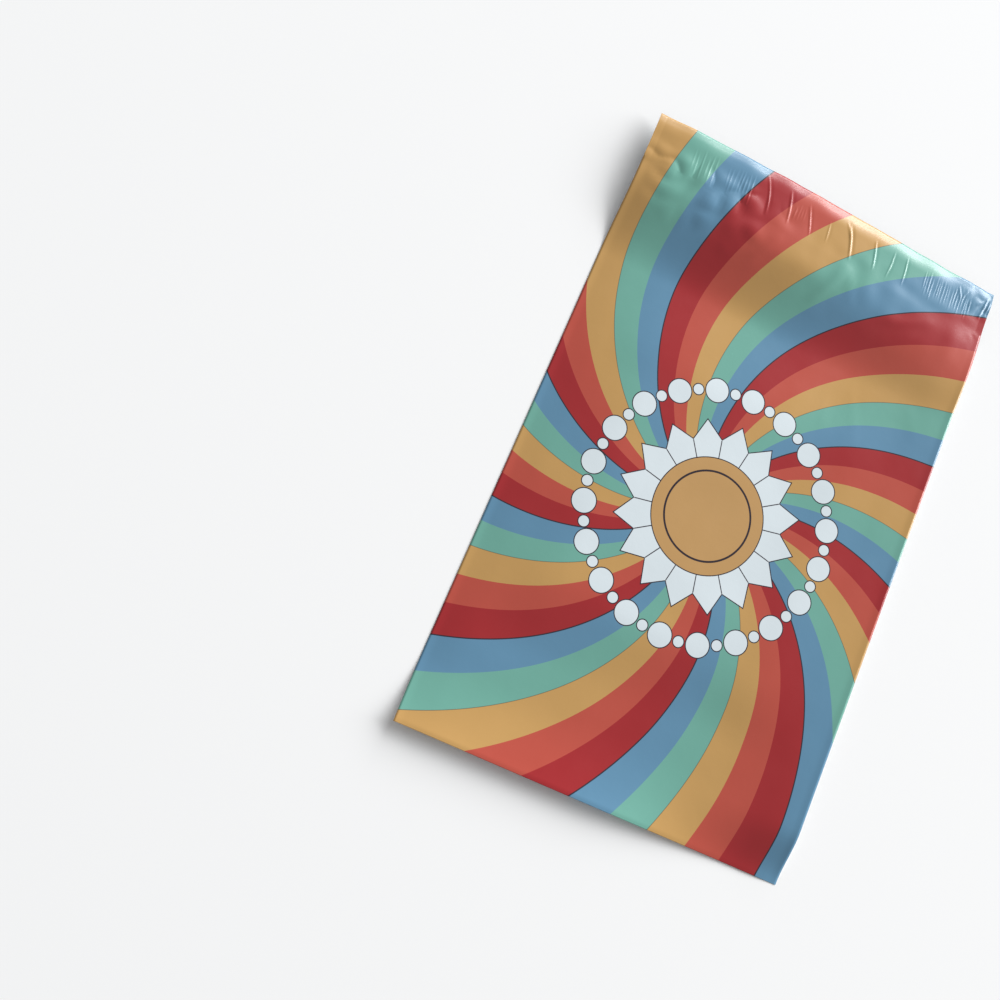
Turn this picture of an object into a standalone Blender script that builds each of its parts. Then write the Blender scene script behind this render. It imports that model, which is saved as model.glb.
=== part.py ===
"""A poly mailer bag: one web of film folded at the bottom and welded down both sides, with the front panel
running on past the mouth as a flap. Under the flap lie a strip of hot-melt adhesive and its peel-off liner.
The bag is empty and lies on its back, printed side up. Metres, +Z up, +Y towards the flap, origin on the
floor under the middle of the bag."""

import math

import bmesh
import bpy
import numpy as np

# The film and its cut sizes
BAG_WIDTH = 0.280
POUCH_LENGTH = 0.410
FLAP_LENGTH = 0.040
FILM = 0.000065
SIDE_WELD = 0.005
FOLD_GAP = 0.0006

# The adhesive strip and its liner, under the flap
STRIP_FROM_EDGE = 0.008
STRIP_WIDTH = 0.018
STRIP_INSET = 0.004
ADHESIVE = 0.00006
LINER_OVERLAP = 0.003
LINER_INSET = 0.001
LINER = 0.00007
SEAT_GAP = 0.0003

# How the empty bag lies: its mouth end arches off the floor, most in the middle of its width and least at its
# right edge, and the flap droops and rolls down at its edge
ARCH_RUN = 0.068
ARCH_BEFORE_MOUTH = 0.004
ARCH_HEIGHT = 0.0060
ARCH_CROWN = 0.0042
ARCH_TILT = 0.0023
FLAP_DROOP = 0.0004
EDGE_ROLL = 0.0020
EDGE_ROLL_WIDTH = 0.013

# The right side lifts between its two corners
SIDE_LIFT = 0.0070
SIDE_LIFT_REACH = 0.110
SIDE_LIFT_FOOT = 0.038
SIDE_LIFT_HEAD = 0.090

# The fold springs up a little, but not towards its right end
FOLD_LIFT = 0.0055
FOLD_LIFT_REACH = 0.050
FOLD_LIFT_END = 0.110
FOLD_LIFT_FADE = 0.120

# The flap's right corner curls up
TIP_CURL = 0.0025
TIP_CURL_REACH = 0.050

# The air between the panels: a thin layer all over, and a flat pillow in the middle of the pocket
PUFF = 0.0010
SIDE_RAMP = 0.022
FOLD_RAMP = 0.030
PILLOW = 0.0028
PILLOW_SIDE_RAMP = 0.065
PILLOW_FOOT = 0.070
PILLOW_FOOT_RAMP = 0.055
PILLOW_HEAD = 0.095
PILLOW_HEAD_RAMP = 0.075

# The longest side of a facet: along the flat, across the bag, and where the film bends
FLAT_STEP = 0.018
ACROSS_STEP = 0.012
BENT_STEP = 0.0075

MOUTH = (POUCH_LENGTH - FLAP_LENGTH) / 2
FLAP_EDGE = (POUCH_LENGTH + FLAP_LENGTH) / 2
FOLD_NOSE = FOLD_GAP / 2 + FILM
FOLD_ROW = FOLD_NOSE - FLAP_EDGE
SIDE_EDGE = BAG_WIDTH / 2
WELD_LINE = SIDE_EDGE - SIDE_WELD
ARCH_START = MOUTH - ARCH_RUN
ARCH_TOP = MOUTH - ARCH_BEFORE_MOUTH
ROLL_START = FLAP_EDGE - EDGE_ROLL_WIDTH
STRIP_TOP = FLAP_EDGE - STRIP_FROM_EDGE
STRIP_FOOT = STRIP_TOP - STRIP_WIDTH
LINER_TOP = STRIP_TOP + LINER_OVERLAP
LINER_FOOT = STRIP_FOOT - LINER_OVERLAP
NOSE_ANGLES = (math.pi / 4, math.pi / 2, 3 * math.pi / 4)
PRINTED, PLAIN, INSIDE = range(3)
SHARP = math.radians(50)
SAME_PLACE = 1e-6


def eased(t):
    """0 before t = 0, 1 after t = 1, and a smooth S between."""
    t = np.clip(t, 0, 1)
    return t * t * (3 - 2 * t)


def rounded(t):
    """0 at t = 0, rising like a quarter of a sine to 1 at t = 1, as film leaves a weld."""
    return np.sin(np.clip(t, 0, 1) * math.pi / 2)


def curl(x, y, corner_x, corner_y, height, reach):
    """A corner bent up about a diagonal line, which cuts both edges at reach from the corner."""
    inward = abs(x - corner_x) + abs(y - corner_y)
    return height * np.clip(1 - inward / reach, 0, 1) ** 2


def base_height(x, y):
    """Outer face of the back panel: on the floor but for the arch, flap, lifted side, fold and corner."""
    rise = eased((y - ARCH_START) / (ARCH_TOP - ARCH_START))
    crown = ARCH_CROWN * np.cos(math.pi * x / BAG_WIDTH)
    crest = ARCH_HEIGHT + crown - ARCH_TILT * np.sin(math.pi * x / BAG_WIDTH)
    droop = FLAP_DROOP * eased((y - ARCH_TOP) / (FLAP_EDGE - ARCH_TOP))
    roll = EDGE_ROLL * np.clip((y - ROLL_START) / EDGE_ROLL_WIDTH, 0, 1) ** 2
    lifted = eased((y + FLAP_EDGE) / SIDE_LIFT_FOOT) * eased((FLAP_EDGE - y) / SIDE_LIFT_HEAD)
    side = SIDE_LIFT * lifted * np.clip(1 - (SIDE_EDGE - x) / SIDE_LIFT_REACH, 0, 1) ** 2
    fold = FOLD_LIFT * np.clip(1 - (y + FLAP_EDGE) / FOLD_LIFT_REACH, 0, 1) ** 2
    fold = fold * eased((FOLD_LIFT_END - x) / FOLD_LIFT_FADE)
    tip = curl(x, y, SIDE_EDGE, FLAP_EDGE, TIP_CURL, TIP_CURL_REACH)
    return rise * crest - droop - roll + side + fold + tip


def inner_height(x, y):
    """Inner face of the back panel."""
    return base_height(x, y) + FILM


def panel_gap(x, y):
    """Free height between the panels: 0 along the welds, FOLD_GAP at the fold, PUFF and pillow between."""
    side = rounded((WELD_LINE - abs(x)) / SIDE_RAMP)
    foot = rounded((y - FOLD_ROW) / FOLD_RAMP)
    pillow = PILLOW * eased((WELD_LINE - abs(x)) / PILLOW_SIDE_RAMP)
    pillow = pillow * eased((y + FLAP_EDGE - PILLOW_FOOT) / PILLOW_FOOT_RAMP)
    pillow = pillow * eased((FLAP_EDGE - PILLOW_HEAD - y) / PILLOW_HEAD_RAMP)
    return side * (FOLD_GAP + (PUFF - FOLD_GAP) * foot) + pillow


def under_height(x, y):
    """Inner face of the front panel and of the flap."""
    return inner_height(x, y) + panel_gap(x, y)


def top_height(x, y):
    """The printed face."""
    return under_height(x, y) + FILM


def spaced(stops, step):
    """The stops in order, each once, with evenly spaced values between two that are over a step apart."""
    stops = sorted(stops)
    values = [stops[0]]
    for low, high in zip(stops, stops[1:]):
        if high - low > SAME_PLACE:
            count = math.ceil((high - low) / step - SAME_PLACE)
            values += [low + (high - low) * k / count for k in range(1, count + 1)]
    return values


def facet_columns():
    """X of the facet lines from side edge to side edge, with the welds and the strips' ends among them."""
    ramp = WELD_LINE - SIDE_RAMP
    inner = spaced([-ramp, ramp], ACROSS_STEP)
    strip_ends = [SIDE_EDGE - STRIP_INSET, SIDE_EDGE - LINER_INSET]
    outer = spaced([ramp, WELD_LINE, *strip_ends, SIDE_EDGE], BENT_STEP)
    return [-x for x in reversed(outer)] + inner[1:-1] + outer


def facet_rows():
    """Y of the facet lines from the fold to the flap's edge, with the mouth and the strips' edges."""
    foot = spaced([FOLD_ROW, FOLD_ROW + FOLD_RAMP], BENT_STEP)
    flat = spaced([FOLD_ROW + FOLD_RAMP, ARCH_START], FLAT_STEP)
    stops = [ARCH_START, MOUTH, LINER_FOOT, STRIP_FOOT, ROLL_START, STRIP_TOP, LINER_TOP, FLAP_EDGE]
    return foot + flat[1:] + spaced(stops, BENT_STEP)[1:]


def index_of(value, values):
    """The place in the list of the number nearest to value."""
    return min(range(len(values)), key=lambda k: abs(values[k] - value))


def plain_material(name, colour, roughness):
    """A non-metal surface of one colour."""
    made = bpy.data.materials.new(name)
    made.use_nodes = True
    shader = made.node_tree.nodes["Principled BSDF"]
    shader.inputs["Base Color"].default_value = (*colour, 1)
    shader.inputs["Roughness"].default_value = roughness
    shader.inputs["Metallic"].default_value = 0
    made.diffuse_color = (*colour, 1)
    return made


def add_object(name, body, materials):
    """The bmesh as a named object, smooth but for the cut edges of the film."""
    bmesh.ops.recalc_face_normals(body, faces=body.faces)
    mesh = bpy.data.meshes.new(name)
    body.to_mesh(mesh)
    body.free()
    mesh.shade_smooth()
    mesh.set_sharp_from_angle(angle=SHARP)
    for one in materials:
        mesh.materials.append(one)
    bpy.context.scene.collection.objects.link(bpy.data.objects.new(name, mesh))


def point_row(body, xs, y, height):
    """A vertex at each x, on the surface height(x, y)."""
    return [body.verts.new((x, y, float(height(x, y)))) for x in xs]


def join_rows(body, first, second, material_index=PRINTED):
    """Faces between two rows of vertices, with three corners where the rows share one vertex."""
    for a, b, c, d in zip(first, first[1:], second[1:], second):
        corners = list(dict.fromkeys((a, b, c, d)))
        if len(corners) > 2:
            body.faces.new(corners).material_index = material_index


def join_all(body, rows, material_index=PRINTED):
    """Faces between each two neighbours in a list of rows."""
    for first, second in zip(rows, rows[1:]):
        join_rows(body, first, second, material_index)


def nose_rows(body, upper, lower):
    """Rows round the outside of the bottom fold, from the printed face's first row to the back panel's."""
    rows = [upper]
    for angle in NOSE_ANGLES:
        row = []
        for high, low in zip(upper, lower):
            middle, half = (high.co.z + low.co.z) / 2, (high.co.z - low.co.z) / 2
            out = FOLD_NOSE * math.sin(angle)
            row.append(body.verts.new((high.co.x, high.co.y - out, middle + half * math.cos(angle))))
        rows.append(row)
    return [*rows, lower]


def pocket_rows(body, xs, ys, weld):
    """Rows of the two faces inside the pocket. They end in the same vertices on both weld lines."""
    left, right = weld
    front, back = [], []
    for y in ys:
        ceiling = point_row(body, xs[left : right + 1], y, under_height)
        floor = point_row(body, xs[left + 1 : right], y, inner_height)
        front.append(ceiling)
        back.append([ceiling[0], *floor, ceiling[-1]])
    return front, back


def film_pouch():
    """The bag as one closed body of film: front panel with flap, back panel, bottom fold and side welds.

    Outside the weld lines the panels are one layer of double film. Inside them lies the pocket, open at the
    mouth, where the back panel ends and the front one runs on as the flap."""
    xs, ys = facet_columns(), facet_rows()
    mouth = index_of(MOUTH, ys)
    left, right = index_of(-WELD_LINE, xs), index_of(WELD_LINE, xs)
    body = bmesh.new()
    top = [point_row(body, xs, y, top_height) for y in ys]
    base = [point_row(body, xs, y, base_height) for y in ys[: mouth + 1]]
    nose = nose_rows(body, top[0], base[0])
    front, back = pocket_rows(body, xs, ys[: mouth + 1], (left, right))
    weld_ends = [point_row(body, beside, ys[mouth], under_height) for beside in (xs[:left], xs[right + 1 :])]
    flap = [weld_ends[0] + front[-1] + weld_ends[1]]
    flap += [point_row(body, xs, y, under_height) for y in ys[mouth + 1 :]]

    join_all(body, nose)
    join_all(body, top)
    join_all(body, base, PLAIN)
    join_all(body, front, INSIDE)
    join_all(body, back, INSIDE)
    join_all(body, flap, INSIDE)
    join_rows(body, front[0], back[0], INSIDE)
    join_rows(body, base[-1], weld_ends[0] + back[-1] + weld_ends[1], PLAIN)
    join_rows(body, top[-1], flap[-1], PLAIN)
    for end in (0, -1):
        close_side(body, *([row[end] for row in rows] for rows in (nose, top, base, flap)))
    add_object("film_pouch", body, film_materials())


def close_side(body, nose, top, base, flap):
    """The cut edge at one side, from the fold over the double film of the weld to the flap's single film."""
    last = len(base) - 1
    body.faces.new(nose).material_index = PLAIN
    join_rows(body, top[:last], base[:last], PLAIN)
    body.faces.new((top[last - 1], top[last], flap[0], base[last], base[last - 1])).material_index = PLAIN
    join_rows(body, top[last:], flap, PLAIN)


def film_materials():
    """The film's three looks, in the order of PRINTED, PLAIN and INSIDE."""
    printed = plain_material("printed_film", (0.62, 0.17, 0.10), 0.35)
    plain = plain_material("plain_film", (0.84, 0.85, 0.86), 0.40)
    inside = plain_material("inside_film", (0.36, 0.37, 0.38), 0.40)
    return [printed, plain, inside]


def strip_under_flap(name, clearance, thickness, inset, foot, head, material):
    """A flat strip that follows the flap's underside from foot to head along Y, clearance below it."""
    xs = [x for x in facet_columns() if abs(x) < SIDE_EDGE - inset + SAME_PLACE]
    ys = [y for y in facet_rows() if foot - SAME_PLACE < y < head + SAME_PLACE]
    body = bmesh.new()
    upper = [point_row(body, xs, y, lambda x, y: under_height(x, y) - clearance) for y in ys]
    lower = [point_row(body, xs, y, lambda x, y: under_height(x, y) - clearance - thickness) for y in ys]
    join_all(body, upper)
    join_all(body, lower)
    for end in (0, -1):
        join_rows(body, upper[end], lower[end])
        join_rows(body, [row[end] for row in upper], [row[end] for row in lower])
    add_object(name, body, [material])


for old in list(bpy.data.objects):
    bpy.data.objects.remove(old, do_unlink=True)

film_pouch()
strip_under_flap(
    "adhesive_strip", SEAT_GAP, ADHESIVE, STRIP_INSET, STRIP_FOOT, STRIP_TOP,
    plain_material("hot_melt", (0.80, 0.72, 0.50), 0.15),
)
strip_under_flap(
    "release_liner", 2 * SEAT_GAP + ADHESIVE, LINER, LINER_INSET, LINER_FOOT, LINER_TOP,
    plain_material("release_film", (0.78, 0.84, 0.88), 0.30),
)
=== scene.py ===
import math

import bpy
import numpy as np
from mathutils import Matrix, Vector


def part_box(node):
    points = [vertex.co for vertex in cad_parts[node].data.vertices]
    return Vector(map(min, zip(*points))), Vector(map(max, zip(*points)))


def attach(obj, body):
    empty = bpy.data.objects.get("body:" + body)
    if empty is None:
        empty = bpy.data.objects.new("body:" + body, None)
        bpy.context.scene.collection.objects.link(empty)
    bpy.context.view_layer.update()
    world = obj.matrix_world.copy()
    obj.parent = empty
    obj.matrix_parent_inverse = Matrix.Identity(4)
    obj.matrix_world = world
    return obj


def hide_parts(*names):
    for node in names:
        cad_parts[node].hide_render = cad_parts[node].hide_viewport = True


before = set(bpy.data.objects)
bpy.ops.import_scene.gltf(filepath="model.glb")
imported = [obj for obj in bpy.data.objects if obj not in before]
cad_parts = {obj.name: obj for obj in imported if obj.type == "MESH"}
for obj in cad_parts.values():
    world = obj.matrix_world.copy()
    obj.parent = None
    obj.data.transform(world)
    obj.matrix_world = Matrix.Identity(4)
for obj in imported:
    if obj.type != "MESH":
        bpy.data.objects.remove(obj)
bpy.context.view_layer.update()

# The film bag
# One web of co-extruded polyethylene, printed on its white outside and grey inside, folded at the bottom and
# welded by a hot bar down both sides. The front panel runs on past the mouth as the closing flap.

MM = 0.001
film_low, film_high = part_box("film_pouch")
SIDE = film_high.x
FLAP_EDGE = film_high.y
FILM = 0.065 * MM
WELD_WIDTH = 5 * MM
FLAP_LENGTH = 40 * MM
MOUTH = FLAP_EDGE - FLAP_LENGTH
WELD_LINE = SIDE - WELD_WIDTH
WELD_AIR = 0.01 * MM
FOLD_GAP = 0.6 * MM
FOLD_RADIUS = (FOLD_GAP + FILM) / 2
FOLD_ROW = film_low.y + FOLD_RADIUS + FILM / 2

ARCH_START = MOUTH - 68 * MM
ARCH_TOP = MOUTH - 4 * MM
ARCH_HEIGHT = 6.0 * MM
ARCH_CROWN = 4.2 * MM
ARCH_TILT = 2.3 * MM
FLAP_DROOP = 0.4 * MM
EDGE_ROLL = 2.0 * MM
EDGE_ROLL_WIDTH = 13 * MM
SIDE_LIFT = 7.0 * MM
SIDE_LIFT_REACH = 110 * MM
SIDE_LIFT_FOOT = 38 * MM
SIDE_LIFT_HEAD = 90 * MM
FOLD_LIFT = 5.5 * MM
FOLD_LIFT_REACH = 50 * MM
FOLD_LIFT_END = 110 * MM
FOLD_LIFT_FADE = 120 * MM
TIP_CURL = 2.5 * MM
TIP_CURL_REACH = 50 * MM
PUFF = 1.0 * MM
SIDE_RAMP = 22 * MM
FOLD_RAMP = 30 * MM
PILLOW = 2.8 * MM
PILLOW_SIDE_RAMP = 65 * MM
PILLOW_FOOT = 70 * MM
PILLOW_FOOT_RAMP = 55 * MM
PILLOW_HEAD = 95 * MM
PILLOW_HEAD_RAMP = 75 * MM

BAND_HEAD = 5 * MM
BAND_FOOT = 31 * MM
BAND_STEP = 0.10 * MM
PUCKER_HEIGHT = 0.20 * MM
DENT_HEIGHT = 0.60 * MM
CRUMPLE_HEIGHT = 0.40 * MM
RIPPLE_HEIGHT = 0.10 * MM
EDGE_WAVE = 0.35 * MM


def eased(t):
    """0 before t = 0, 1 after t = 1, and t squared times (3 - 2t) between."""
    t = np.clip(t, 0, 1)
    return t * t * (3 - 2 * t)


def rise(value, start, run):
    """0 before the start, eased up to 1 over the run."""
    return eased((value - start) / run)


def fall(value, end, run):
    """Eased down from 1 to 0 over the run, which stops at the end."""
    return eased((end - value) / run)


def curl(x, y, corner_x, corner_y, height, reach):
    """A corner bent up about a diagonal: height times the square of 1 minus the way in over the reach."""
    inward = abs(x - corner_x) + abs(y - corner_y)
    return height * np.clip(1 - inward / reach, 0, 1) ** 2


def back_height(x, y):
    """Lowest face of the bag: flat but for the mouth's arch, the flap, the lifted side and fold, a corner."""
    arch = rise(y, ARCH_START, ARCH_TOP - ARCH_START)
    crown = ARCH_CROWN * np.cos(math.pi * x / (2 * SIDE))
    crest = ARCH_HEIGHT + crown - ARCH_TILT * np.sin(math.pi * x / (2 * SIDE))
    droop = FLAP_DROOP * rise(y, ARCH_TOP, FLAP_EDGE - ARCH_TOP)
    roll = EDGE_ROLL * np.clip((y - FLAP_EDGE + EDGE_ROLL_WIDTH) / EDGE_ROLL_WIDTH, 0, 1) ** 2
    lifted = rise(y, -FLAP_EDGE, SIDE_LIFT_FOOT) * fall(y, FLAP_EDGE, SIDE_LIFT_HEAD)
    side = SIDE_LIFT * lifted * np.clip(1 - (SIDE - x) / SIDE_LIFT_REACH, 0, 1) ** 2
    fold = FOLD_LIFT * np.clip(1 - (y + FLAP_EDGE) / FOLD_LIFT_REACH, 0, 1) ** 2
    fold = fold * fall(x, FOLD_LIFT_END, FOLD_LIFT_FADE)
    tip = curl(x, y, SIDE, FLAP_EDGE, TIP_CURL, TIP_CURL_REACH)
    return arch * crest - droop - roll + side + fold + tip


def side_ease(x):
    """0 on the weld lines and 1 further in, rising like a quarter of a sine."""
    return np.sin(np.clip((WELD_LINE - abs(x)) / SIDE_RAMP, 0, 1) * math.pi / 2)


def ripple(x, y, wavelength, seed):
    """Sum of twelve plane waves of about one wavelength, in directions and phases drawn from the seed."""
    draw = np.random.default_rng(seed)
    total = 0
    for angle, phase, stretch in draw.uniform((0, 0, 0.7), (math.pi, 2 * math.pi, 1.5), (12, 3)):
        along = (x * math.cos(angle) + y * math.sin(angle)) * stretch
        total = total + np.sin(2 * math.pi * along / wavelength + phase)
    return total / math.sqrt(12)


CREASE_FADE = 0.6
TROUGH_DEPTH = 0.4
TROUGH_PLACE = 2.2
TROUGH_WIDTH = 1.7


def crease(x, y, foot, head, bow, width, height):
    """A sharp ridge from foot to head: a bell across it, a shallow trough on its right, both ends faded.
    Foot and head are millimetres in from the left edge and down from the flap's edge."""
    foot_x, foot_y = foot[0] * MM - SIDE, FLAP_EDGE - foot[1] * MM
    head_x, head_y = head[0] * MM - SIDE, FLAP_EDGE - head[1] * MM
    run_x, run_y = head_x - foot_x, head_y - foot_y
    length = math.hypot(run_x, run_y)
    t = ((x - foot_x) * run_x + (y - foot_y) * run_y) / length**2
    off = ((x - foot_x) * run_y - (y - foot_y) * run_x) / length
    off = off - bow * MM * np.sin(math.pi * np.clip(t, 0, 1))
    fade = np.sin(math.pi * np.clip(t, 0, 1)) ** CREASE_FADE
    across = off / (width * MM)
    trough = TROUGH_DEPTH * np.exp(-(((across - TROUGH_PLACE) / TROUGH_WIDTH) ** 2))
    return height * MM * fade * (np.exp(-(across**2)) - trough)


# Creases over the adhesive, a pinch at the right edge, and long soft creases below the band. Each has its
# foot, head, bow, width and height in millimetres
STRONG_CREASES = [
    ((94.5, 33), (86.5, 6), 1.4, 0.7, 0.30),
    ((111, 32), (106, 8), 0.8, 0.8, 0.34),
    ((129.5, 32), (122.5, 11), 0.3, 0.6, 0.32),
    ((142.5, 30), (141, 15), 0.2, 0.6, 0.20),
    ((163.5, 33), (156, 9), 0.5, 0.8, 0.50),
    ((160, 19), (153, 8), 0.2, 0.7, 0.30),
    ((182.5, 31), (178, 10), 0.6, 0.7, 0.36),
    ((194, 31), (195, 10), 0.5, 0.6, 0.24),
    ((207.5, 30), (205.5, 9), 0.4, 0.6, 0.28),
    ((255, 17), (251, 8), 0.2, 0.6, 0.34),
    ((255.5, 17), (259, 8), 0.2, 0.6, 0.30),
    ((273, 23), (276, 5), 0.4, 0.9, 0.45),
    ((277, 19), (279, 6), 0.0, 0.8, 0.40),
    ((268, 15), (278, 5), 0.3, 0.9, 0.45),
    ((270, 38), (279, 47), 0.3, 1.3, 0.55),
    ((274, 35), (279.5, 41), 0.2, 1.2, 0.45),
    ((148, 74), (165, 36), 2.0, 3.0, 0.50),
    ((178, 64), (167, 38), 0.0, 2.8, 0.32),
    ((206, 60), (240, 44), 1.0, 3.0, 0.40),
    ((96, 66), (112, 40), 1.5, 3.0, 0.30),
    ((219.5, 152), (201, 110), 0.5, 2.5, 0.14),
    ((195, 154), (185, 122), 0.3, 2.5, 0.10),
    ((262, 132), (245, 106), 0.0, 4.0, 0.12),
]
# Groups of fine parallel creases: first and last place across, how many, top and foot down, height
FINE_CREASES = [
    (33, 50, 6, 13, 33, 0.13),
    (60, 79, 8, 12, 32, 0.13),
    (112, 121, 5, 15, 26, 0.10),
    (224, 264, 18, 10, 28, 0.15),
]
FINE_CREASE_WIDTH = 0.5


def all_creases():
    """The strong creases, then each group's fine ones, evenly spaced with small seeded shifts."""
    draw = np.random.default_rng(11)
    creases = list(STRONG_CREASES)
    for first, last, count, top, foot, height in FINE_CREASES:
        for place in np.linspace(first, last, count):
            limits = (-0.5, -1.2, -2, -4, 0.6), (0.5, 0.4, 3, 3, 1.5)
            shift, lean, start, end, strength = draw.uniform(*limits)
            ends = (place + shift, foot + end), (place + shift + lean, top + start)
            creases.append((*ends, draw.uniform(-0.3, 0.3), FINE_CREASE_WIDTH, height * strength))
    return creases


def relief(x, y):
    """What handling left in the front panel: creases over the adhesive, puckers and dents below it, a
    crumpled right corner and faint ripples."""
    down = FLAP_EDGE - y
    total = BAND_STEP * rise(down, BAND_HEAD - MM, 2 * MM) * fall(down, BAND_FOOT + 4 * MM, 8 * MM)
    for one in all_creases():
        total = total + crease(x, y, *one)
    puckers = rise(down, 20 * MM, 12 * MM) * fall(down, 90 * MM, 60 * MM)
    total = total + PUCKER_HEIGHT * puckers * ripple(x, y, 24 * MM, 3)
    dents = rise(down, 16 * MM, 12 * MM) * fall(down, 78 * MM, 34 * MM) * fall(x, -20 * MM, 50 * MM)
    total = total + DENT_HEIGHT * dents * abs(ripple(x, y, 27 * MM, 24))
    crumple = rise(x, SIDE - 32 * MM, 22 * MM) * fall(down, 26 * MM, 12 * MM)
    total = total + CRUMPLE_HEIGHT * crumple * abs(ripple(x, y, 19 * MM, 31))
    total = total + RIPPLE_HEIGHT * ripple(x, y, 55 * MM, 5)
    return total + EDGE_WAVE * fall(down, 12 * MM, 12 * MM) * ripple(x, 0 * y, 38 * MM, 9)


def panel_gap(x, y):
    """Free height between the panels: thin air eased to nothing at the welds, a pillow, and the relief."""
    foot = np.sin(np.clip((y - FOLD_ROW) / FOLD_RAMP, 0, 1) * math.pi / 2)
    pillow = rise(y, PILLOW_FOOT - FLAP_EDGE, PILLOW_FOOT_RAMP)
    pillow = pillow * fall(y, FLAP_EDGE - PILLOW_HEAD, PILLOW_HEAD_RAMP)
    pillow = pillow * fall(abs(x), WELD_LINE, PILLOW_SIDE_RAMP)
    pocket = side_ease(x) * (FOLD_GAP + (PUFF - FOLD_GAP) * foot) + PILLOW * pillow
    free_edge = rise(y, MOUTH, 8 * MM)
    held = np.maximum(side_ease(x), free_edge) * foot
    return pocket + WELD_AIR + held * relief(x, y)


def film_middle(x, y, layer):
    """Middle of the film's thickness: layer -1 is the back panel, 1 the front, and between is the fold."""
    back = back_height(x, y) + FILM / 2
    apart = FILM + panel_gap(x, y)
    return back + apart * (1 + layer) / 2


def under_flap(x, y):
    """The flap's grey inner face, which the adhesive and its liner follow."""
    return film_middle(x, y, 1) - FILM / 2


def graded(stops, steps):
    """Values from the first stop to the last, each stretch in its own number of equal steps."""
    stretches = zip(stops, stops[1:], steps)
    parts = [np.linspace(low, high, count, endpoint=False) for low, high, count in stretches]
    return np.append(np.concatenate(parts), stops[-1])


COLUMNS = graded((-SIDE, -SIDE + 9 * MM, SIDE - 9 * MM, SIDE), (6, 84, 6))
FINE_PER_COLUMN = 8
FINE_START = FLAP_EDGE - 36 * MM
FINE_ROWS = 27
SEAM_DEPTH = 1.4 * MM


def film_stations():
    """The web from the mouth along the back, round the fold and up to the fine band: y, layer, way out."""
    front = graded((FOLD_ROW, FOLD_ROW + FOLD_RAMP, MOUTH - 75 * MM, MOUTH, FINE_START), (9, 70, 30, 4))
    back = front[front < MOUTH + 0.01 * MM][::-1]
    turn = np.linspace(-math.pi / 2, math.pi / 2, 9)[1:-1]
    y = np.concatenate([back, np.full(len(turn), FOLD_ROW), front])
    layer = np.concatenate([np.full(len(back), -1.0), np.sin(turn), np.full(len(front), 1.0)])
    out = np.concatenate([0 * back, FOLD_RADIUS * np.cos(turn), 0 * front])
    return y, layer, out


def grid_points(xs, y, layer, out):
    """Points over columns and stations: the film's middle at each, moved out round the fold."""
    x_grid, y_grid = np.meshgrid(xs, y)
    z_grid = film_middle(x_grid, y_grid, layer[:, None])
    return np.stack([x_grid, y_grid - out[:, None], z_grid], -1).reshape(-1, 3)


def grid_faces(rows, columns, first=0):
    """Four corners of each cell of a grid whose points are numbered row by row from first."""
    corner = (np.arange(rows - 1)[:, None] * columns + np.arange(columns - 1)).reshape(-1, 1) + first
    return corner + np.array([0, 1, columns + 1, columns])


def mesh_object(name, points, faces, face_materials, materials):
    """An object at the origin with this mesh, shaded smooth."""
    mesh = bpy.data.meshes.new(name)
    mesh.from_pydata(points.tolist(), [], faces)
    for one in materials:
        mesh.materials.append(one)
    mesh.polygons.foreach_set("material_index", np.asarray(face_materials, dtype=np.int32))
    mesh.shade_smooth()
    mesh.update()
    made = bpy.data.objects.new(name, mesh)
    bpy.context.scene.collection.objects.link(made)
    return made


def film_mesh():
    """Points and faces of the whole web: a plain grid, a row of seam faces and a finer grid at the flap."""
    y, layer, out = film_stations()
    across = np.arange(len(COLUMNS) - 1)
    fine_steps = np.arange(FINE_PER_COLUMN * len(across) + 1) / FINE_PER_COLUMN
    fine_x = np.interp(fine_steps, np.arange(len(COLUMNS)), COLUMNS)
    fine_y = graded((FINE_START + SEAM_DEPTH, FLAP_EDGE), (FINE_ROWS,))
    plain = grid_points(COLUMNS, y, layer, out)
    fine = grid_points(fine_x, fine_y, np.ones(len(fine_y)), 0 * fine_y)
    last_row = len(plain) - len(COLUMNS) + across
    first_row = len(plain) + FINE_PER_COLUMN * across[:, None] + np.arange(FINE_PER_COLUMN, -1, -1)
    seam = np.column_stack([last_row, last_row + 1, first_row])
    faces = grid_faces(len(y), len(COLUMNS)).tolist() + seam.tolist()
    faces += grid_faces(len(fine_y), len(fine_x), len(plain)).tolist()
    return np.concatenate([plain, fine]), faces


PRINT_WRAP = 1.5 * MM


def film_face_looks(count):
    """1 on the plain back, up to a little short of the fold, and 0 on the rest, which is printed."""
    y, layer, out = film_stations()
    bare_rows = int(np.sum((layer < 0) & (out == 0) & (y > FOLD_ROW + PRINT_WRAP)))
    looks = np.zeros(count, dtype=np.int32)
    looks[: (bare_rows - 1) * (len(COLUMNS) - 1)] = 1
    return looks


def calc(tree, operation, *values, clamp=False):
    """A Math node's result on numbers or sockets."""
    made = tree.nodes.new("ShaderNodeMath")
    made.operation = operation
    made.use_clamp = clamp
    for slot, value in zip(made.inputs, values):
        if isinstance(value, (int, float)):
            slot.default_value = value
        else:
            tree.links.new(value, slot)
    return made.outputs[0]


def layered(tree, mask, below, above):
    """The colour above laid over the colour below where the mask is 1."""
    mix = tree.nodes.new("ShaderNodeMix")
    mix.data_type = "RGBA"
    tree.links.new(mask, mix.inputs["Factor"])
    for slot, value in ((mix.inputs[6], below), (mix.inputs[7], above)):
        if isinstance(value, tuple):
            slot.default_value = (*value, 1)
        else:
            tree.links.new(value, slot)
    return mix.outputs[2]


INK_SPREAD = 0.12 * MM


def inside_of(tree, distance):
    """1 where the distance is below 0, and 0 above it, with a soft edge as wide as ink spreads."""
    return calc(tree, "SUBTRACT", 0.5, calc(tree, "DIVIDE", distance, INK_SPREAD), clamp=True)


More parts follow.
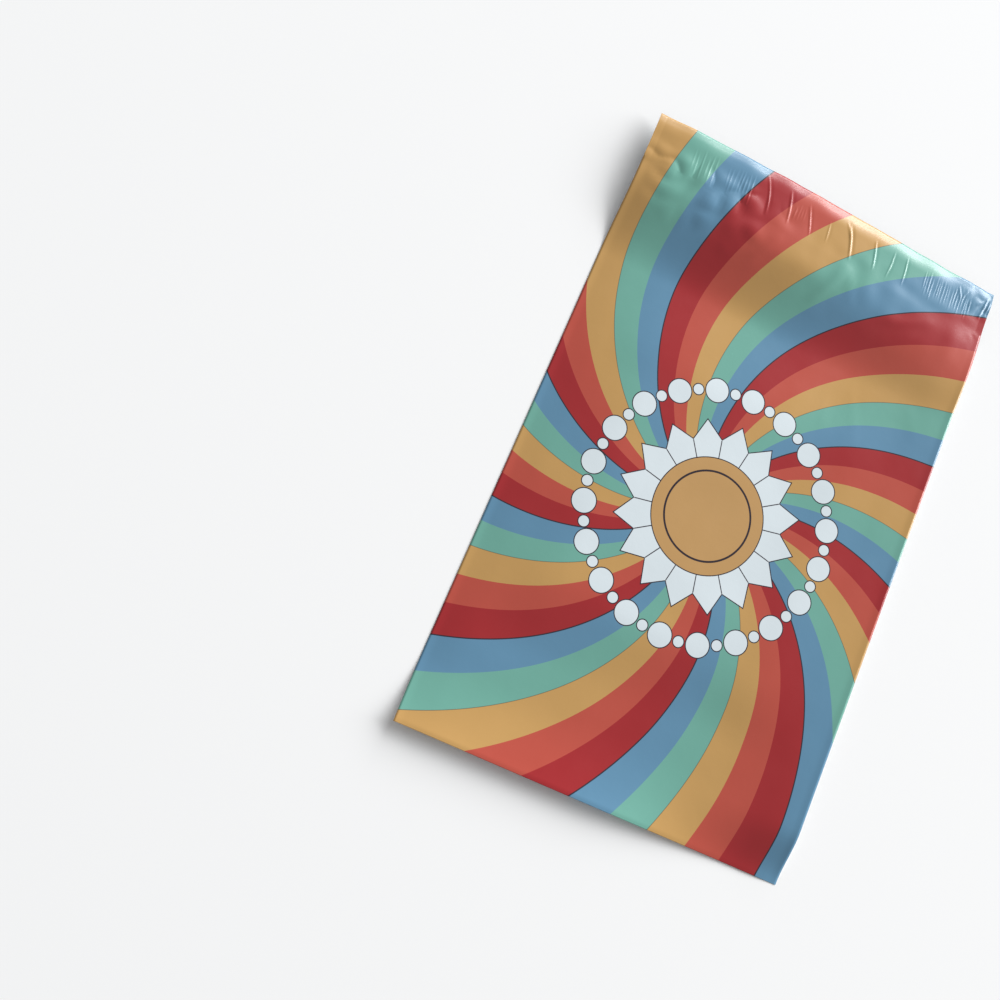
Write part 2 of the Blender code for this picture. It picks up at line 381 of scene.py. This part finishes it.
GRAIN_SCALE = 900
LINE_SCALE = 500
LINE_STRETCH = (0.03, 1, 1)
LINE_WEIGHT = 0.5
DIMPLE_SCALE = 70
DIMPLE_WEIGHT = 6
MOTTLE_SCALE = 35


def film_texture_group():
    """Blown film: fine grain, die lines across the bag and soft dimples, as a height and a mottle."""
    group = bpy.data.node_groups.new("film_texture", "ShaderNodeTree")
    group.interface.new_socket("Vector", in_out="INPUT", socket_type="NodeSocketVector")
    for name, value in (("Grain", 1.0), ("Dimples", 1.0)):
        group.interface.new_socket(name, in_out="INPUT", socket_type="NodeSocketFloat").default_value = value
    for name in ("Height", "Mottle"):
        group.interface.new_socket(name, in_out="OUTPUT", socket_type="NodeSocketFloat")
    source = group.nodes.new("NodeGroupInput")
    result = group.nodes.new("NodeGroupOutput")

    def noise(scale, detail, stretch=(1, 1, 1)):
        mapping = group.nodes.new("ShaderNodeMapping")
        mapping.inputs["Scale"].default_value = stretch
        group.links.new(source.outputs["Vector"], mapping.inputs["Vector"])
        made = group.nodes.new("ShaderNodeTexNoise")
        made.inputs["Scale"].default_value = scale
        made.inputs["Detail"].default_value = detail
        group.links.new(mapping.outputs["Vector"], made.inputs["Vector"])
        return made.outputs["Fac"]

    grain = calc(group, "MULTIPLY", noise(GRAIN_SCALE, 2), source.outputs["Grain"])
    lines = calc(group, "MULTIPLY", noise(LINE_SCALE, 1, LINE_STRETCH), LINE_WEIGHT)
    dimples = calc(group, "MULTIPLY", noise(DIMPLE_SCALE, 2), source.outputs["Dimples"])
    dimples = calc(group, "MULTIPLY", dimples, DIMPLE_WEIGHT)
    height = calc(group, "ADD", calc(group, "ADD", grain, lines), dimples)
    group.links.new(height, result.inputs["Height"])
    group.links.new(noise(MOTTLE_SCALE, 4), result.inputs["Mottle"])
    return group


film_texture = film_texture_group()
TEXTURE_DEPTH = 0.012 * MM
ROUGHNESS_SPREAD = 0.14
FILM_IOR = 1.5


def film_shader(name, base_colour, roughness, mottle_share):
    """A satin polyethylene surface: the colour, a mottled roughness and the film texture as bump."""
    material = bpy.data.materials.new(name)
    material.use_nodes = True
    tree = material.node_tree
    shader = tree.nodes["Principled BSDF"]
    place = tree.nodes.new("ShaderNodeTexCoord").outputs["Object"]
    texture = tree.nodes.new("ShaderNodeGroup")
    texture.node_tree = film_texture
    tree.links.new(place, texture.inputs["Vector"])
    colour = base_colour(tree, place)
    mottle = calc(tree, "MULTIPLY_ADD", texture.outputs["Mottle"], mottle_share, 1 - mottle_share / 2)
    shade = tree.nodes.new("ShaderNodeMix")
    shade.data_type = "RGBA"
    shade.blend_type = "MULTIPLY"
    shade.inputs["Factor"].default_value = 1
    tree.links.new(colour, shade.inputs[6])
    tree.links.new(mottle, shade.inputs[7])
    tree.links.new(shade.outputs[2], shader.inputs["Base Color"])
    smoothest = roughness - ROUGHNESS_SPREAD / 2
    mottled = calc(tree, "MULTIPLY_ADD", texture.outputs["Mottle"], ROUGHNESS_SPREAD, smoothest)
    tree.links.new(mottled, shader.inputs["Roughness"])
    bump = tree.nodes.new("ShaderNodeBump")
    bump.inputs["Strength"].default_value = 1
    bump.inputs["Distance"].default_value = TEXTURE_DEPTH
    tree.links.new(texture.outputs["Height"], bump.inputs["Height"])
    tree.links.new(bump.outputs["Normal"], shader.inputs["Normal"])
    shader.inputs["IOR"].default_value = FILM_IOR
    return material


# The print: a swirl of five inks from behind a sun, and a ring of dots round the sun
SUN_CENTRE = (0.0, film_low.y + 206 * MM)
SWIRL_CENTRE = (-5.1 * MM, film_low.y + 209.8 * MM)
REPEATS = 9
TWIST = math.radians(0.213) / MM
FAR_RADIUS = 160 * MM
FAR_SLACK = 0.00085 / MM
WANDER = math.radians(1.5)
WANDER_WAY = math.radians(160.5)
SWIRL_START = math.radians(88.2)
YELLOW = (0.520, 0.300, 0.100)
CORAL = (0.470, 0.075, 0.050)
RED = (0.340, 0.018, 0.022)
BLUE = (0.110, 0.250, 0.380)
TEAL = (0.150, 0.380, 0.310)
WHITE_INK = (0.670, 0.740, 0.775)
GOLD_INK = (0.500, 0.290, 0.110)
LINE_INK = (0.022, 0.014, 0.024)
SWIRL_INKS = ((0.0, YELLOW), (0.209, CORAL), (0.402, RED), (0.601, BLUE), (0.804, TEAL))
# Each key line's place in the turn, half its width and its strength
DARK_KEY_LINE = SWIRL_INKS[3][0], 0.42 * MM, 0.95
FAINT_KEY_LINE = SWIRL_INKS[0][0], 0.22 * MM, 0.60
DISC_RADIUS = 40 * MM
INNER_RING_RADIUS = 31 * MM
STAR_TIP = 66 * MM
STAR_VALLEY = 53 * MM
STAR_POINTS = 16
DOT_RING_RADIUS = 87 * MM
DOTS = 20
BIG_DOT = 8.2 * MM
SMALL_DOT = 3.6 * MM
OUTLINE = 0.70 * MM


def polar(tree, place, centre):
    """Radius and angle of the place about a centre."""
    apart = tree.nodes.new("ShaderNodeSeparateXYZ")
    tree.links.new(place, apart.inputs[0])
    x = calc(tree, "SUBTRACT", apart.outputs["X"], centre[0])
    y = calc(tree, "SUBTRACT", apart.outputs["Y"], centre[1])
    squares = calc(tree, "ADD", calc(tree, "MULTIPLY", x, x), calc(tree, "MULTIPLY", y, y))
    return calc(tree, "SQRT", squares), calc(tree, "ARCTAN2", y, x)


def swirl_colour(tree, radius, angle):
    """Five inks in turn round the centre, with two key lines. Their edges turn clockwise by TWIST with the
    radius, but less and less beyond FAR_RADIUS. They lie WANDER further anticlockwise towards WANDER_WAY and
    opposite it, and as much further clockwise at right angles to it."""
    far = calc(tree, "MAXIMUM", calc(tree, "SUBTRACT", radius, FAR_RADIUS), 0.0)
    reach = calc(tree, "MULTIPLY_ADD", calc(tree, "MULTIPLY", far, -FAR_SLACK), far, radius)
    lobes = calc(tree, "COSINE", calc(tree, "MULTIPLY", calc(tree, "SUBTRACT", angle, WANDER_WAY), 2.0))
    turned = calc(tree, "MULTIPLY_ADD", reach, TWIST, angle)
    turned = calc(tree, "MULTIPLY_ADD", lobes, -WANDER, turned)
    turned = calc(tree, "SUBTRACT", turned, SWIRL_START)
    phase = calc(tree, "FRACT", calc(tree, "MULTIPLY", turned, REPEATS / (2 * math.pi)))
    ramp = tree.nodes.new("ShaderNodeValToRGB")
    ramp.color_ramp.interpolation = "CONSTANT"
    tree.links.new(phase, ramp.inputs["Fac"])
    stops = ramp.color_ramp.elements
    while len(stops) < len(SWIRL_INKS):
        stops.new(0.5)
    for stop, (start, ink) in zip(stops, SWIRL_INKS):
        stop.position = start
        stop.color = (*ink, 1)
    slant = calc(tree, "MULTIPLY", radius, TWIST)
    skew = calc(tree, "SQRT", calc(tree, "MULTIPLY_ADD", slant, slant, 1.0))
    per_phase = calc(tree, "DIVIDE", calc(tree, "MULTIPLY", radius, 2 * math.pi / REPEATS), skew)
    colour = ramp.outputs["Color"]
    for edge, half_width, strength in (DARK_KEY_LINE, FAINT_KEY_LINE):
        off = calc(tree, "WRAP", calc(tree, "SUBTRACT", phase, edge), 0.5, -0.5)
        off = calc(tree, "MULTIPLY", calc(tree, "ABSOLUTE", off), per_phase)
        line = inside_of(tree, calc(tree, "SUBTRACT", off, half_width))
        colour = layered(tree, calc(tree, "MULTIPLY", line, strength), colour, LINE_INK)
    return colour


def sector(tree, radius, angle, count, turn=0.0):
    """Place in one of count equal sectors, as x along its middle and y across it."""
    part = calc(tree, "MULTIPLY_ADD", angle, count / (2 * math.pi), turn)
    part = calc(tree, "WRAP", part, 0.5, -0.5)
    folded = calc(tree, "MULTIPLY", part, 2 * math.pi / count)
    x = calc(tree, "MULTIPLY", radius, calc(tree, "COSINE", folded))
    return x, calc(tree, "MULTIPLY", radius, calc(tree, "SINE", folded))


def with_outline(tree, colour, distance, fill):
    """The fill where the distance is below 0, and a dark line along its edge."""
    colour = layered(tree, inside_of(tree, calc(tree, "SUBTRACT", distance, OUTLINE)), colour, LINE_INK)
    return layered(tree, inside_of(tree, distance), colour, fill)


def dot(tree, colour, radius, angle, count, turn, size):
    """A ring of white dots with dark outlines."""
    x, y = sector(tree, radius, angle, count, turn)
    x = calc(tree, "SUBTRACT", x, DOT_RING_RADIUS)
    squares = calc(tree, "ADD", calc(tree, "MULTIPLY", x, x), calc(tree, "MULTIPLY", y, y))
    distance = calc(tree, "SUBTRACT", calc(tree, "SQRT", squares), size)
    return with_outline(tree, colour, distance, WHITE_INK)


def star(tree, colour, radius, angle):
    """A white star: in each sector its edge is the straight line from the tip to the valley."""
    x, y = sector(tree, radius, angle, STAR_POINTS)
    y = calc(tree, "ABSOLUTE", y)
    half = math.pi / STAR_POINTS
    valley_x, valley_y = STAR_VALLEY * math.cos(half), STAR_VALLEY * math.sin(half)
    run_x, run_y = valley_x - STAR_TIP, valley_y
    length = math.hypot(run_x, run_y)
    normal_x, normal_y = run_y / length, -run_x / length
    ahead = calc(tree, "MULTIPLY", calc(tree, "SUBTRACT", x, STAR_TIP), normal_x)
    distance = calc(tree, "MULTIPLY_ADD", y, normal_y, ahead)
    colour = with_outline(tree, colour, distance, WHITE_INK)
    across = calc(tree, "MULTIPLY_ADD", x, math.sin(half), calc(tree, "MULTIPLY", y, -math.cos(half)))
    seam = inside_of(tree, calc(tree, "SUBTRACT", calc(tree, "ABSOLUTE", across), OUTLINE / 2))
    within = inside_of(tree, calc(tree, "SUBTRACT", radius, STAR_VALLEY))
    return layered(tree, calc(tree, "MULTIPLY", seam, within), colour, LINE_INK)


def printed_colour(tree, place):
    """The whole print, from the swirl up to the disc."""
    colour = swirl_colour(tree, *polar(tree, place, SWIRL_CENTRE))
    radius, angle = polar(tree, place, SUN_CENTRE)
    colour = dot(tree, colour, radius, angle, DOTS, 0.0, BIG_DOT)
    colour = dot(tree, colour, radius, angle, DOTS, 0.5, SMALL_DOT)
    colour = star(tree, colour, radius, angle)
    colour = with_outline(tree, colour, calc(tree, "SUBTRACT", radius, DISC_RADIUS), GOLD_INK)
    ring = calc(tree, "ABSOLUTE", calc(tree, "SUBTRACT", radius, INNER_RING_RADIUS))
    return layered(tree, inside_of(tree, calc(tree, "SUBTRACT", ring, OUTLINE)), colour, LINE_INK)


BACK_WHITE = (0.78, 0.79, 0.80)
INNER_GREY = (0.17, 0.175, 0.18)


def plain_colour(pigment):
    """A colour function that gives one pigment everywhere."""

    def colour(tree, place):
        flat = tree.nodes.new("ShaderNodeRGB")
        flat.outputs[0].default_value = (*pigment, 1)
        return flat.outputs[0]

    return colour


printed_film = film_shader("printed_film", printed_colour, 0.31, 0.05)
white_film = film_shader("white_film", plain_colour(BACK_WHITE), 0.40, 0.04)
grey_film = film_shader("grey_film", plain_colour(INNER_GREY), 0.38, 0.08)

film_points, film_faces = film_mesh()
film_bag = mesh_object(
    "film_bag", film_points, film_faces, film_face_looks(len(film_faces)),
    [printed_film, white_film, grey_film, grey_film],
)
thickness = film_bag.modifiers.new("film_thickness", "SOLIDIFY")
thickness.thickness = FILM
thickness.offset = 0
thickness.use_rim = True
thickness.material_offset = 2
thickness.material_offset_rim = 1
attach(film_bag, "root")
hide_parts("film_pouch")

# The adhesive
# A band of clear yellowish hot melt, coated in lines along the flap's grey inner face.

adhesive_low, adhesive_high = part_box("adhesive_strip")
ADHESIVE = 0.06 * MM
ADHESIVE_CLEARANCE = 0.05 * MM
ADHESIVE_COLUMNS = 545
ADHESIVE_ROWS = 16
HOT_MELT_COLOUR = (0.70, 0.58, 0.30)
STREAK_SCALE = 1000
STREAK_DEPTH = 0.01 * MM
STREAK_SHADE = 0.86
STREAK_ROUGHNESS = 0.1


def strip_mesh(box, clearance, thick, columns, rows):
    """A thin closed strip: two grids that follow the flap's inner face, joined round their edge."""
    low, high = box
    xs, ys = np.linspace(low.x, high.x, columns), np.linspace(low.y, high.y, rows)
    x_grid, y_grid = np.meshgrid(xs, ys)
    top = under_flap(x_grid, y_grid) - clearance
    layers = [np.stack([x_grid, y_grid, z], -1).reshape(-1, 3) for z in (top, top - thick)]
    count = rows * columns
    upper = grid_faces(rows, columns)
    index = np.arange(count).reshape(rows, columns)
    edge = np.concatenate([index[0], index[1:, -1], index[-1, -2::-1], index[-2:0:-1, 0]])
    after = np.roll(edge, -1)
    rim = np.stack([after, edge, edge + count, after + count], -1)
    return np.concatenate(layers), np.concatenate([upper, upper[:, ::-1] + count, rim]).tolist()


def streaked_shader(name, colour, roughness, alpha, stretch):
    """A strip with fine lines along it, in its colour and its surface."""
    material = bpy.data.materials.new(name)
    material.use_nodes = True
    tree = material.node_tree
    shader = tree.nodes["Principled BSDF"]
    mapping = tree.nodes.new("ShaderNodeMapping")
    mapping.inputs["Scale"].default_value = stretch
    tree.links.new(tree.nodes.new("ShaderNodeTexCoord").outputs["Object"], mapping.inputs["Vector"])
    streaks = tree.nodes.new("ShaderNodeTexNoise")
    streaks.inputs["Scale"].default_value = STREAK_SCALE
    streaks.inputs["Detail"].default_value = 3
    tree.links.new(mapping.outputs["Vector"], streaks.inputs["Vector"])
    ramp = tree.nodes.new("ShaderNodeValToRGB")
    tree.links.new(streaks.outputs["Fac"], ramp.inputs["Fac"])
    ramp.color_ramp.elements[0].color = (*(STREAK_SHADE * part for part in colour), 1)
    ramp.color_ramp.elements[1].color = (*colour, 1)
    tree.links.new(ramp.outputs["Color"], shader.inputs["Base Color"])
    bump = tree.nodes.new("ShaderNodeBump")
    bump.inputs["Distance"].default_value = STREAK_DEPTH
    tree.links.new(streaks.outputs["Fac"], bump.inputs["Height"])
    tree.links.new(bump.outputs["Normal"], shader.inputs["Normal"])
    mottled = calc(tree, "MULTIPLY_ADD", streaks.outputs["Fac"], STREAK_ROUGHNESS, roughness)
    tree.links.new(mottled, shader.inputs["Roughness"])
    shader.inputs["Alpha"].default_value = alpha
    return material


adhesive_points, adhesive_faces = strip_mesh(
    (adhesive_low, adhesive_high), ADHESIVE_CLEARANCE, ADHESIVE, ADHESIVE_COLUMNS, ADHESIVE_ROWS
)
adhesive_looks = np.zeros(len(adhesive_faces))
hot_melt = streaked_shader("hot_melt", HOT_MELT_COLOUR, 0.12, 0.85, (0.06, 1.0, 1.0))
adhesive = mesh_object("adhesive_band", adhesive_points, adhesive_faces, adhesive_looks, [hot_melt])
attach(adhesive, "root")
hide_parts("adhesive_strip")

# The release liner
# A strip of translucent silicone-coated film over the adhesive, wider than it so that a finger can lift it.

liner_low, liner_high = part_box("release_liner")
LINER = 0.07 * MM
LINER_CLEARANCE = ADHESIVE_CLEARANCE + ADHESIVE + 0.05 * MM
LINER_COLUMNS = 557
LINER_ROWS = 20
LINER_COLOUR = (0.82, 0.86, 0.88)

liner_points, liner_faces = strip_mesh(
    (liner_low, liner_high), LINER_CLEARANCE, LINER, LINER_COLUMNS, LINER_ROWS
)
liner_looks = np.zeros(len(liner_faces))
release_film = streaked_shader("release_film", LINER_COLOUR, 0.28, 0.55, (0.02, 0.6, 1.0))
liner = mesh_object("peel_off_liner", liner_points, liner_faces, liner_looks, [release_film])
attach(liner, "root")
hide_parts("release_liner")

# The floor
# A wide pale sheet of card under the bag.

HALF_FLOOR = 6.0
FLOOR_BELOW = 0.2 * MM
floor_mesh = bpy.data.meshes.new("floor")
floor_corners = [(-1, -1), (1, -1), (1, 1), (-1, 1)]
floor_points = [(x * HALF_FLOOR, y * HALF_FLOOR, -FLOOR_BELOW) for x, y in floor_corners]
floor_mesh.from_pydata(floor_points, [], [(0, 1, 2, 3)])
floor = bpy.data.objects.new("floor", floor_mesh)
bpy.context.scene.collection.objects.link(floor)
floor_card = bpy.data.materials.new("floor_card")
floor_card.use_nodes = True
card_surface = floor_card.node_tree.nodes["Principled BSDF"].inputs
card_surface["Base Color"].default_value = (0.90, 0.90, 0.90, 1)
card_surface["Roughness"].default_value = 0.9
card_surface["Specular IOR Level"].default_value = 0.1
floor_mesh.materials.append(floor_card)

# The light
# A large window, low beyond the flap's right end, and an even white room, whose walls look paler than
# the light that they give.

WINDOW_WAY = Vector((0.60, 0.72, 0.34))
WINDOW_DISTANCE = 16.0
WINDOW_WIDTH = 24.0
WINDOW_HEIGHT = 7.4
WINDOW_RADIANCE = 12.6

pane = bpy.data.lights.new("window", "AREA")
pane.shape = "RECTANGLE"
pane.size = WINDOW_WIDTH
pane.size_y = WINDOW_HEIGHT
pane.energy = WINDOW_RADIANCE * math.pi * WINDOW_WIDTH * WINDOW_HEIGHT
pane.color = (0.985, 0.993, 1.0)
window = bpy.data.objects.new("window", pane)
window.location = WINDOW_WAY.normalized() * WINDOW_DISTANCE
window.rotation_mode = "QUATERNION"
window.rotation_quaternion = WINDOW_WAY.to_track_quat("Z", "Y")
bpy.context.scene.collection.objects.link(window)

ROOM_LIGHT = 0.36
ROOM_SEEN = 0.88

room = bpy.data.worlds.new("room")
room.use_nodes = True
walls = room.node_tree.nodes["Background"].inputs
walls["Color"].default_value = (0.99, 0.995, 1.0, 1)
seen = room.node_tree.nodes.new("ShaderNodeLightPath").outputs["Is Camera Ray"]
strength = calc(room.node_tree, "MULTIPLY_ADD", seen, ROOM_SEEN - ROOM_LIGHT, ROOM_LIGHT)
room.node_tree.links.new(strength, walls["Strength"])
bpy.context.scene.world = room
bpy.context.scene.view_settings.view_transform = "Standard"

# The camera
# It looks down from high up, a little beyond the bag's left edge and near its fold.

CAMERA_PLACE = (-0.23653, -0.19198, 0.68918)
CAMERA_TILT = 5.728
CAMERA_LEAN = -11.798
CAMERA_TURN = 23.911
FOCAL_PIXELS = 1083.5
PICTURE_PIXELS = 1000
camera_data = bpy.data.cameras.new("camera")
camera_data.sensor_width = 36
camera_data.lens = camera_data.sensor_width * FOCAL_PIXELS / PICTURE_PIXELS
camera = bpy.data.objects.new("camera", camera_data)
camera.location = CAMERA_PLACE
camera.rotation_euler = [math.radians(angle) for angle in (CAMERA_TILT, CAMERA_LEAN, CAMERA_TURN)]
bpy.context.scene.collection.objects.link(camera)
bpy.context.scene.camera = camera
